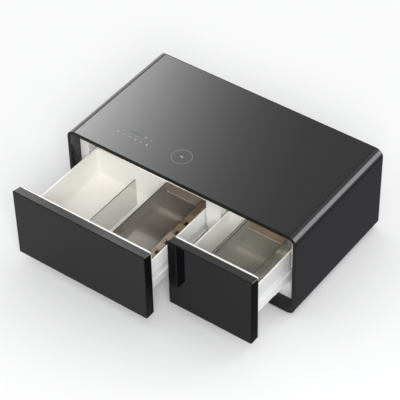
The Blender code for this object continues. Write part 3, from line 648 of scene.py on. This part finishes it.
def bar_mark(x, y, length, stroke, turn, z):
    half_u = length / 2
    half_v = stroke / 2
    swing = math.radians(turn)
    outline = []
    for u, v in rounded(-half_u, -half_v, half_u, half_v, half_v * mark_end_share, coarse_steps):
        outline.append((x + u * math.cos(swing) - v * math.sin(swing),
                        y + u * math.sin(swing) + v * math.cos(swing)))
    return slab("mark", outline, "Z", z, z + mark_height)


# Marks from rows of a place, size and stroke as shares, and the turns of bars, or none for a ring
def key_marks(rows, z):
    pieces = []
    for x, y, size_share, stroke_share, turns in rows:
        size = size_share * mark_size
        stroke = stroke_share * mark_stroke
        if not turns:
            pieces.append(ring_mark(x, y, size, stroke, z))
        for turn in turns:
            pieces.append(bar_mark(x, y, size, stroke, turn, z))
    return pieces


def printed_marks():
    touch_low, touch_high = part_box("touch_module")
    middle = (touch_low + touch_high) / 2
    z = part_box("top_glass")[1].z + mark_gap
    columns = [middle.x + key_pitch * (index - (key_columns - 1) / 2) for index in range(key_columns)]
    first, second, third, fourth, fifth, sixth = columns
    front = middle.y - front_row
    back = middle.y + back_row
    ring = ()
    cross = (0, 90)
    star = (0, 60, 120)
    bright_shares = ((first, front, 1.0, 1.0, ring), (first, front, 1.0, 1.0, (90, )),
                     (second, front, 2.0, 2.0, (0, )), (second, front, 1.4, 2.0, (90, )),
                     (third, front, 2.0, 1.0, cross), (fourth, front, 1.0, 1.0, ring),
                     (fifth, front, 2.2, 0.8, star), (sixth, front, 1.0, 1.0, ring),
                     (sixth, front, 1 / 3, 1.0, ring), (fifth, back, 1.0, 1.0, ring),
                     (sixth, back, 2.2, 1.0, (45, 135)))
    dim_shares = ((second, back, 2.2, 1.7, star), (first, back, 2.0, 1.6, cross))
    marks = join("printed_marks", key_marks(bright_shares, z))
    finish_piece(marks, "print_white_painted_glow", "white_plastic", "cabinet")
    line = bar_mark(middle.x, (front + back) / 2, line_length, mark_stroke, 0, z)
    lines = join("fine_lines", key_marks(dim_shares, z) + [line])
    finish_piece(lines, "print_grey_painted_glow", "white_plastic", "cabinet")


def charging_marks():
    coil_low, coil_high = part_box("charging_coil")
    middle = (coil_low + coil_high) / 2
    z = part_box("top_glass")[1].z + mark_gap
    ring = ring_mark(middle.x, middle.y, charging_radius, charging_stroke, z)
    ring.name = "charging_ring"
    finish_piece(ring, "print_grey_painted_glow", "white_plastic", "cabinet")
    bolt = [(u * bolt_length + middle.x, v * bolt_width + middle.y) for u, v in bolt_shares]
    mark = slab("charging_mark", bolt, "Z", z, z + mark_height)
    finish_piece(mark, "print_white_painted_glow", "white_plastic", "cabinet")


# Window of the small display, in the back row of the keys
def display_window():
    touch_low, touch_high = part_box("touch_module")
    middle = (touch_low + touch_high) / 2
    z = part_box("top_glass")[1].z + mark_gap
    back = middle.y + back_row
    window = rounded(middle.x - window_length / 2, back - window_width / 2, middle.x + window_length / 2,
                     back + window_width / 2, window_corner, coarse_steps)
    display = slab("display_window", window, "Z", z, z + mark_height / 2)
    finish_piece(display, "screen_glass", "black_glass", "cabinet")


# Drawer fronts: a glossy face, a core with a sloped top and a white lining
def front_face(side):
    low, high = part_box(f"{side}_front_glass")
    rings = [ring_in(low, high, "Y", low.y + front_ease * rise, front_ease * fall,
                     front_corner - front_ease * fall) for fall, rise in quarter(front_ease_steps)]
    rings.append(ring_in(low, high, "Y", high.y, 0.0, front_corner))
    face = loft(f"{side}_face", rings)
    smooth(face, lofted_crease)
    # The two faces take copies of one glass, the right one darker as painted shade
    finish_piece(face, f"front_gloss_{side}", "black_glass", f"{side}_drawer", f"{side}_front_glass")
    # Painted shade: the sides and underside in a duller black
    paint(face, "painted_shade_black", lambda part: abs(part.normal.x) > facing_share or
          part.normal.z < -facing_share)


def front_board(side):
    low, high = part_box(f"{side}_front_core")
    back_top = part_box(f"{side}_inner_panel")[1].z + slope_foot

    def section(spot, inset):
        share = (spot - low.y) / (high.y - low.y)
        top = high.z + (back_top - high.z) * share
        return at(rounded(low.x + inset, low.z + inset, high.x - inset, top - inset,
                          front_corner - inset), "Y", spot)

    rings = [section(low.y, 0.0), section((low.y + high.y) / 2, 0.0)]
    rings += [section(high.y - back_ease * fall, back_ease * rise) for fall, rise in quarter()]
    core = loft(f"{side}_board", rings)
    smooth(core, lofted_crease)
    # The two cores take copies of one satin, the right one darker as painted shade
    finish_piece(core, f"slope_satin_{side}", "front_board", f"{side}_drawer", f"{side}_front_core")
    # Painted shade: the sides and underside in a duller black
    paint(core, "painted_shade_black", lambda part: abs(part.normal.x) > facing_share or
          part.normal.z < -tilted_share)
    # A painted glint on the rounded edges between the slope and the right side
    paint(core, "painted_slope_glint", lambda part: part.normal.x > tilted_share and
          part.normal.z > tilted_share)


def front_lining(side):
    low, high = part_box(f"{side}_inner_panel")
    rings = [ring_in(low, high, "Y", low.y + panel_front_ease * rise, panel_front_ease * fall, front_corner)
             for fall, rise in quarter()]
    rings += [ring_in(low, high, "Y", high.y - panel_ease * fall, panel_ease * rise, front_corner)
              for fall, rise in quarter()]
    panel = loft(f"{side}_lining", rings)
    smooth(panel, lofted_crease)
    finish_piece(panel, "panel_white", "white_plastic", f"{side}_drawer", f"{side}_inner_panel")


# Middles of the notches in a flange that begins at a place
def notch_spots(start, count=notch_count):
    return [start + notch_first + notch_pitch * index for index in range(count)]


# Ledges on the right wall of a tub, which leave the left tray's notches open
def tray_ledges(side, wall, top):
    low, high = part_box(f"{side}_tray")
    stops = [low.y + ledge_end]
    if side == "left":
        for spot in notch_spots(low.y):
            stops += [spot - notch_width / 2, spot + notch_width / 2]
    stops.append(high.y - ledge_end)
    pieces = [block("ledge", (wall - ledge_reach, begin, top - ledge_height), (wall + ledge_root, end, top))
              for begin, end in zip(stops[::2], stops[1::2])]
    return join("ledges", pieces)


# White tubs with rounded rims and filleted floors
def tub(side):
    low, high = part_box(f"{side}_tub")

    def outer(inset_x, inset, z):
        return at(rounded(low.x + inset_x + inset, low.y + inset, high.x - inset_x - inset,
                          high.y - inset, tub_outer_radius), "Z", z)

    def inner(inset, z):
        return ring_in(low, high, "Z", z, tub_wall + inset, tub_inner_radius)

    step_z = low.z + tub_step_height
    floor_z = low.z + tub_floor
    rings = [outer(tub_step, tub_foot_ease * fall, low.z + tub_foot_ease * rise)
             for fall, rise in quarter(tub_foot_steps)]
    rings += [outer(tub_step, 0.0, step_z), outer(0.0, 0.0, step_z), outer(0.0, 0.0, high.z - rim_round)]
    rings += [outer(0.0, rim_round * rise, high.z - rim_round * fall) for fall, rise in quarter()[1:]]
    rings += [inner(-rim_round * rise, high.z - rim_round * fall) for fall, rise in quarter()[::-1]]
    rings += [inner(tub_draft + tub_fillet * rise, floor_z + tub_fillet * fall)
              for fall, rise in quarter(tub_fillet_steps)]
    shell = loft(f"{side}_bin", rings)
    combine(shell, tray_ledges(side, high.x - tub_wall, high.z - ledge_drop), "UNION")
    smooth(shell, lofted_crease)
    finish_piece(shell, "tub_white", "white_plastic", f"{side}_drawer", f"{side}_tub")
    # Painted light: the outer side walls in a lighter, neutral white
    paint(shell, "tub_outer", lambda part: abs(part.normal.x) > facing_share and
          not low.x + tub_side_band <= part.center.x <= high.x - tub_side_band)
    # Painted shade: the right tub's right wall in grey
    if side == "right":
        paint(shell, "tub_side", lambda part: part.normal.x > facing_share and
              part.center.x > high.x - tub_side_band)


# A solid for the outside of a tray's bowl, and one for its inside
def bowl(name, low, high, end):
    def ring(inset, z, corner):
        return at(rounded(low.x + inset, low.y + inset, end - inset, high.y - inset, corner), "Z", z)

    bottom = high.z - tray_drop
    floor_z = bottom + tray_wall
    outer_fillet = tray_fillet + tray_wall
    outer_radius = tray_radius + tray_wall
    outside = [ring(outer_fillet * fall, bottom + outer_fillet * rise, outer_radius)
               for fall, rise in quarter(tray_fillet_steps)]
    outside.append(ring(0.0, high.z, outer_radius))
    inside = [ring(tray_wall + tray_fillet * fall, floor_z + tray_fillet * rise, tray_radius)
              for fall, rise in quarter(tray_fillet_steps)]
    inside.append(ring(tray_wall, high.z + cut_room, tray_radius))
    return loft(name, outside), loft(f"{name}_inside", inside)


def cut_notches(shell, low, high):
    pieces = []
    for spot in notch_spots(low.y):
        outline = rounded(high.x - notch_depth, spot - notch_width / 2, high.x + cut_room,
                          spot + notch_width / 2, notch_corner)
        pieces.append(slab("notch", outline, "Z", high.z - 2 * tray_flange, high.z + cut_room))
    combine(shell, join("notches", pieces))


# Dark blocks in the notches, a painted shade that stands for the shadow in them
def tray_notch_shades(low, high):
    bottom = high.z - tray_flange
    reach = notch_width / 2 - notch_shade_gap
    notch_shade_blocks = [block("hook", (high.x - notch_depth + notch_shade_gap, spot - reach, bottom),
                   (high.x - notch_shade_gap, spot + reach, bottom + notch_shade_height)) for spot in notch_spots(low.y)]
    dark_blocks = join("left_tray_notch_shades", notch_shade_blocks)
    ease(dark_blocks, notch_shade_ease)
    finish_piece(dark_blocks, "notch_shade_black", "smoky_plastic", "left_drawer")


# Raised tabs on the flange, before, between and after the notches
def tray_tabs(low, high, bowl_end):
    bottom = high.z - flange_drop
    tabs = []
    for spot in notch_spots(low.y - notch_pitch / 2, notch_count + 1):
        outline = rounded(bowl_end + tab_inner_gap, spot - tab_length / 2, high.x - tab_outer_gap,
                          spot + tab_length / 2, tab_corner)
        tabs.append(slab("tab", outline, "Z", bottom, bottom + tab_height))
    raised = join("left_tray_tabs", tabs)
    ease(raised, small_ease)
    finish_piece(raised, "smoke_tab", "smoky_plastic", "left_drawer")


# Smoky trays, hung on the tub's rim, with a flange on their right that is notched in the left drawer
def tray(side, side_flange, bowl_smoke, flange_smoke, notched):
    low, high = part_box(f"{side}_tray")
    bowl_end = high.x + seat_gap - side_flange
    shell, space = bowl(f"{side}_shallow_tray", low, high, bowl_end)
    flange = tongue(bowl_end - tray_wall / 2, low.y + tray_setback, high.x, high.y - tray_setback,
                    tub_inner_radius - tray_setback)
    combine(shell, slab("flange", flange, "Z", high.z - tray_flange, high.z - flange_drop), "UNION")
    combine(shell, space)
    if notched:
        cut_notches(shell, low, high)
        tray_notch_shades(low, high)
    ease(shell, small_ease)
    finish_piece(shell, bowl_smoke, "smoky_plastic", f"{side}_drawer", f"{side}_tray")
    skin = high.z - tray_skin

    def on_flange(face):
        return face.normal.z > facing_share and skin > face.center.z > high.z - tray_flange

    def on_back(face):
        return face.normal.y < -steep_share and face.center.y > high.y - tray_back_band

    def on_fold_highlight(face):
        return slight_share < face.normal.z < fold_share and face.normal.y < -slight_share

    paint(shell, "smoke_rim", lambda face: face.normal.z > facing_share and face.center.z > skin)
    paint(shell, flange_smoke, on_flange)
    # Painted light: the back walls in a lighter copy of the smoke
    paint(shell, f"smoke_back_{side}", on_back)
    # A painted highlight: lighter smoke on the fillets tilted up towards the front
    paint(shell, "smoke_fold_highlight", on_fold_highlight)
    if notched:
        tray_tabs(low, high, bowl_end)


# Dark beads along the left edge of a tray, with a paler strip between two of them
def rim_beads(side, count):
    low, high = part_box(f"{side}_tray")
    near = low.y + bead_inset
    far = high.y - bead_inset
    edges = [low.x - bead_pitch * index for index in reversed(range(count))]
    pieces = [block("bead", (x, near, high.z - bead_depth), (x + bead_width, far, high.z + bead_rise))
              for x in edges]
    beads = join(f"{side}_tray_beads", pieces)
    ease(beads, small_ease)
    finish_piece(beads, "smoke_bead", "smoky_plastic", f"{side}_drawer")
    if count > 1:
        strip = block(f"{side}_tray_strip", (edges[0] + bead_width, near, high.z - strip_bottom),
                      (edges[1], far, high.z - strip_top))
        ease(strip, thin_ease)
        finish_piece(strip, "smoke_strip", "smoky_plastic", f"{side}_drawer")


# Clear divider of the left drawer, with a darker upper edge
def divider():
    low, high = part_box("left_divider")
    plate = slab("divider_plate", within(low, high, "X", 0.0, divider_corner), "X", low.x, high.x)
    ease(plate, small_ease)
    finish_piece(plate, "clear", "smoky_plastic", "left_drawer", "left_divider")
    edge = block("divider_edge",
                 (low.x - divider_skin, low.y + divider_corner, high.z - divider_edge_depth),
                 (high.x + divider_skin, high.y - divider_corner, high.z + divider_edge_rise))
    ease(edge, thin_ease)
    finish_piece(edge, "clear_edge", "smoky_plastic", "left_drawer")


# White trims between the drawers and the openings, left out where the runners pass
def opening_trims():
    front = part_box("front_frame")[0].y
    reach = liner_wall + seat_gap
    pieces = []
    for side in sides:
        liner_low, liner_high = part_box(f"{side}_liner")
        tub_low, tub_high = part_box(f"{side}_tub")
        rail_low, rail_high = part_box(f"{side}_cabinet_rail_left")
        spans = ((liner_low.x + reach, tub_low.x - trim_clearance),
                 (tub_high.x + trim_clearance, liner_high.x - reach))
        levels = ((liner_low.z + reach, rail_low.z - rail_room_below),
                  (rail_high.z + rail_room_above, liner_high.z - reach))
        for begin, end in spans:
            for bottom, top in levels:
                pieces.append(block("trim", (begin, front + trim_front, bottom),
                                    (end, front + trim_back, top)))
    trims = join("opening_trims", pieces)
    ease(trims, small_ease)
    finish_piece(trims, "frame_white", "white_plastic", "cabinet")


# Low ribs on the bar of the frame under the openings
def intake_ribs():
    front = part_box("front_frame")[0].y
    pieces = []
    for begin, end in rib_spans:
        for level in range(rib_count):
            z = rib_first + rib_pitch * level
            outline = rounded(begin, z, end, z + rib_height, rib_radius, coarse_steps)
            pieces.append(slab("rib", outline, "Y", front - rib_rise, front - rib_gap))
    ribs = join("intake_ribs", pieces)
    ease(ribs, rib_ease)
    finish_piece(ribs, "frame_white", "white_plastic", "cabinet")


# Domed screws with a round socket, along the edges of the rear cover
def cover_screws():
    low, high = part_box("rear_cover")
    base = high.y - screw_sink
    places = []
    for x in (low.x + screw_end, low.x + screw_step, (low.x + high.x) / 2, high.x - screw_step,
              high.x - screw_end):
        places += [(x, low.z + screw_inset), (x, high.z - screw_inset)]
    for x in (low.x + screw_inset, high.x - screw_inset):
        places.append((x, (low.z + high.z) / 2))
    pieces = []
    for x, z in places:
        rings = [at(circle(x, z, screw_radius * reach), "Y", base + screw_height * rise)
                 for reach, rise in screw_shares]
        pieces.append(loft("screw", rings))
    screws = join("cover_screws", pieces)
    smooth(screws, lofted_crease)
    finish_piece(screws, "screw_black", "zinc_steel", "cabinet")


# The rest of the CAD nodes, by finish: its material, its slot, the width of its eased edges and its nodes
def dressed_nodes():
    pairs = [(side, hand) for side in sides for hand in sides]
    profiles = [f"{side}_side_profile_{hand}" for side, hand in pairs]
    cabinet_rails = [f"{side}_cabinet_rail_{hand}" for side, hand in pairs]
    middle_rails = [f"{side}_middle_rail_{hand}" for side, hand in pairs]
    feet = [f"foot_{end}_{hand}" for end in ("front", "rear") for hand in sides]
    mouldings = ("condenser_fan_frame", "condenser_fan_rotor", "evaporator_fan_frame",
                 "evaporator_fan_rotor", "drip_pan", "power_inlet")
    finishes = (
        ("frame_white", "white_plastic", 0.0012, ("front_frame", "left_liner", "right_liner")),
        ("frame_white", "white_plastic", 0.0005, ("evaporator_cover", )),
        ("frame_white", "white_plastic", 0.0006, ("control_box", )),
        ("black_moulding", "black_plastic", 0.0003, ("rear_cover", )),
        ("black_moulding", "black_plastic", 0.0004, mouldings),
        ("foam", "rigid_foam", 0.001, ("insulation", )),
        ("seal_grey", "grey_seal", 0.0010, ("left_gasket", "right_gasket")),
        ("lamp_cover", "light_cover", 0.0012, ("left_light", "right_light")),
        ("steel_white", "white_steel", 0.0008, profiles),
        ("zinc", "zinc_steel", 0.0004, cabinet_rails),
        ("steel_white", "zinc_steel", 0.0004, middle_rails),
        ("zinc", "zinc_steel", 0.0005, ("base_tray", "compressor_bracket")),
        ("rubber", "foot_rubber", 0.0, feet),
        ("shell_black", "compressor_shell", 0.0, ("compressor", )),
        ("bright_aluminium", "aluminium", 0.0002, ("condenser", "left_evaporator", "right_cold_plate")),
        ("copper_pipe", "copper", 0.0, ("discharge_pipe", "filter_drier", "suction_pipe", "charging_coil")),
        ("board", "circuit_board", 0.0003, ("touch_module", )))
    for material, slot, width, names in finishes:
        for name in names:
            dress(name, material, width)


# Matrix of an object from its three axes and its place
def placed(axes, spot):
    matrix = Matrix.Identity(4)
    for index, column in enumerate((*axes, spot)):
        for row in range(3):
            matrix[row][index] = column[row]
    return matrix


# Camera at the photograph's viewing angle
def camera():
    yaw = math.radians(camera_yaw)
    pitch = math.radians(camera_pitch)
    roll = math.radians(camera_roll)
    ahead = Vector((-math.sin(yaw) * math.cos(pitch), math.cos(yaw) * math.cos(pitch), -math.sin(pitch)))
    right = Vector((ahead.y, -ahead.x, 0.0)).normalized()
    up = right.cross(ahead)
    turned_right = math.cos(roll) * right + math.sin(roll) * up
    turned_up = -math.sin(roll) * right + math.cos(roll) * up
    spot = Vector(camera_spot)
    data = bpy.data.cameras.new("camera")
    data.lens = camera_lens
    data.sensor_width = camera_sensor
    data.clip_end = camera_end
    thing = bpy.data.objects.new("camera", data)
    bpy.context.scene.collection.objects.link(thing)
    thing.matrix_world = placed((turned_right, turned_up, -ahead), spot)
    bpy.context.scene.camera = thing
    return spot, turned_right, turned_up, ahead


def floor():
    ground = block("ground", (-floor_reach, -floor_reach, -floor_depth), (floor_reach, floor_reach, 0.0))
    ground.data.materials.append(materials["ground"])


# A material that only glows, and its glowing node
def glow_material(name, strength=1.0):
    material = bpy.data.materials.new(name)
    material.use_nodes = True
    tree = material.node_tree
    tree.nodes.clear()
    out = tree.nodes.new("ShaderNodeOutputMaterial")
    light = tree.nodes.new("ShaderNodeEmission")
    light.inputs["Strength"].default_value = strength
    tree.links.new(light.outputs[0], out.inputs["Surface"])
    return material, light


# A maths node, with the numbers of its second and later inputs
def maths(tree, operation, *numbers):
    node = tree.nodes.new("ShaderNodeMath")
    node.operation = operation
    for index, number in enumerate(numbers, 1):
        node.inputs[index].default_value = number
    return node


# A card that only glossy reflections see
def glossy_card(name, corners, material):
    mesh = bpy.data.meshes.new(name)
    mesh.from_pydata(corners, [], [tuple(range(len(corners)))])
    mesh.materials.append(material)
    card = bpy.data.objects.new(name, mesh)
    bpy.context.scene.collection.objects.link(card)
    card.visible_camera = False
    card.visible_diffuse = False
    card.visible_shadow = False
    card.visible_transmission = False
    card.visible_volume_scatter = False
    return card


# A long soft card, placed as the camera's mirror image in the top, that brightens the top's left part
def gradient_card(spot, right, up, ahead):
    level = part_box("top_glass")[1].z
    flip = Vector((1.0, 1.0, -1.0))
    eye = Vector((spot.x, spot.y, 2 * level - spot.z))
    axes = (right * flip, up * flip, ahead * flip)
    corners = []
    for x, y in ((card_left, card_front), (card_right, card_front), (card_right, card_back),
                 (card_left, card_back)):
        ray = Vector((x, y, level)) - eye
        hit = ray * (card_reach / ray.dot(axes[2]))
        corners.append((hit.dot(axes[0]), hit.dot(axes[1]), card_reach))
    material, light = glow_material("card_light")
    tree = material.node_tree
    place = tree.nodes.new("ShaderNodeTexCoord")
    parts = tree.nodes.new("ShaderNodeSeparateXYZ")
    along = tree.nodes.new("ShaderNodeMapRange")
    across = tree.nodes.new("ShaderNodeMapRange")
    slant = maths(tree, "MULTIPLY")
    curve = maths(tree, "POWER", card_power)
    gain = maths(tree, "MULTIPLY_ADD", card_gain, card_base)
    along.inputs["From Min"].default_value = card_dark_pixels / focal_pixels * card_reach
    along.inputs["From Max"].default_value = card_bright_pixels / focal_pixels * card_reach
    across.inputs["From Min"].default_value = card_low_pixels / focal_pixels * card_reach
    across.inputs["From Max"].default_value = card_high_pixels / focal_pixels * card_reach
    across.inputs["To Min"].default_value = card_low_share
    across.inputs["To Max"].default_value = card_high_share
    link = tree.links.new
    link(place.outputs["Object"], parts.inputs[0])
    link(parts.outputs["X"], along.inputs["Value"])
    link(parts.outputs["Y"], across.inputs["Value"])
    link(along.outputs["Result"], slant.inputs[0])
    link(across.outputs["Result"], slant.inputs[1])
    link(slant.outputs[0], curve.inputs[0])
    link(curve.outputs[0], gain.inputs[0])
    link(gain.outputs[0], light.inputs["Strength"])
    card = glossy_card("card", corners, material)
    card.matrix_world = placed(axes, eye)


# Slanted cards behind the table, whose mirror images are the bright bands on the top's side edges
def corner_cards():
    for name, way, (start, end), strength in (("corner_card", 1, right_arc, right_arc_strength),
                                              ("left_card", -1, left_arc, left_arc_strength)):
        corners = []
        for turn, y in ((start, arc_card_near), (start, arc_card_far), (end, arc_card_far),
                        (end, arc_card_near)):
            swing = math.radians(turn)
            corners.append((way * arc_card_x + arc_card_reach * math.cos(swing), y,
                            arc_card_z + arc_card_reach * math.sin(swing)))
        glossy_card(name, corners, glow_material(name, strength)[0])


# A dim card on the floor beside the right side
def side_card():
    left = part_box("outer_sleeve")[1].x + side_card_gap
    outline = ((left, side_card_front), (side_card_right, side_card_front),
               (side_card_right, side_card_back), (left, side_card_back))
    corners = at(outline, "Z", side_card_height)
    glossy_card("side_card", corners, glow_material("side_card", side_card_strength)[0])


# A soft square lamp, not seen in reflections
def lamp(name, spot, power):
    data = bpy.data.lights.new(name, "AREA")
    data.shape = "SQUARE"
    data.size = lamp_size
    data.energy = power
    thing = bpy.data.objects.new(name, data)
    bpy.context.scene.collection.objects.link(thing)
    way = Vector(lamp_target) - Vector(spot)
    thing.rotation_euler = way.to_track_quat("-Z", "Y").to_euler()
    thing.location = spot
    thing.visible_glossy = False


# White wherever it is seen, mirrored or looked at through a clear piece, and a softer fill otherwise
def world():
    thing = bpy.data.worlds.new("world")
    bpy.context.scene.world = thing
    thing.use_nodes = True
    tree = thing.node_tree
    tree.nodes.clear()
    out = tree.nodes.new("ShaderNodeOutputWorld")
    path = tree.nodes.new("ShaderNodeLightPath")
    mix = tree.nodes.new("ShaderNodeMixShader")
    seen = tree.nodes.new("ShaderNodeBackground")
    fill = tree.nodes.new("ShaderNodeBackground")
    for background, strength in ((seen, seen_strength), (fill, fill_strength)):
        background.inputs["Color"].default_value = (1.0, 1.0, 1.0, 1.0)
        background.inputs["Strength"].default_value = strength
    mirrored = maths(tree, "MAXIMUM")
    any_way = maths(tree, "MAXIMUM")
    link = tree.links.new
    link(path.outputs["Is Camera Ray"], mirrored.inputs[0])
    link(path.outputs["Is Glossy Ray"], mirrored.inputs[1])
    link(mirrored.outputs[0], any_way.inputs[0])
    link(path.outputs["Is Transmission Ray"], any_way.inputs[1])
    link(any_way.outputs[0], mix.inputs[0])
    link(fill.outputs[0], mix.inputs[1])
    link(seen.outputs[0], mix.inputs[2])
    link(mix.outputs[0], out.inputs["Surface"])


table_shell()
top_plate()
printed_marks()
charging_marks()
display_window()
for side in sides:
    front_face(side)
    front_board(side)
    front_lining(side)
    tub(side)
tray("left", left_flange, "smoke", "smoke_flange", True)
tray("right", right_flange, "smoke_grey", "smoke_side", False)
rim_beads("left", 1)
rim_beads("right", 2)
opening_trims()
intake_ribs()
cover_screws()
divider()
dressed_nodes()
view = camera()
floor()
gradient_card(*view)
corner_cards()
side_card()
lamp("key", key_spot, key_power)
lamp("back", back_spot, back_power)
world()
bpy.context.scene.view_settings.view_transform = "Standard"
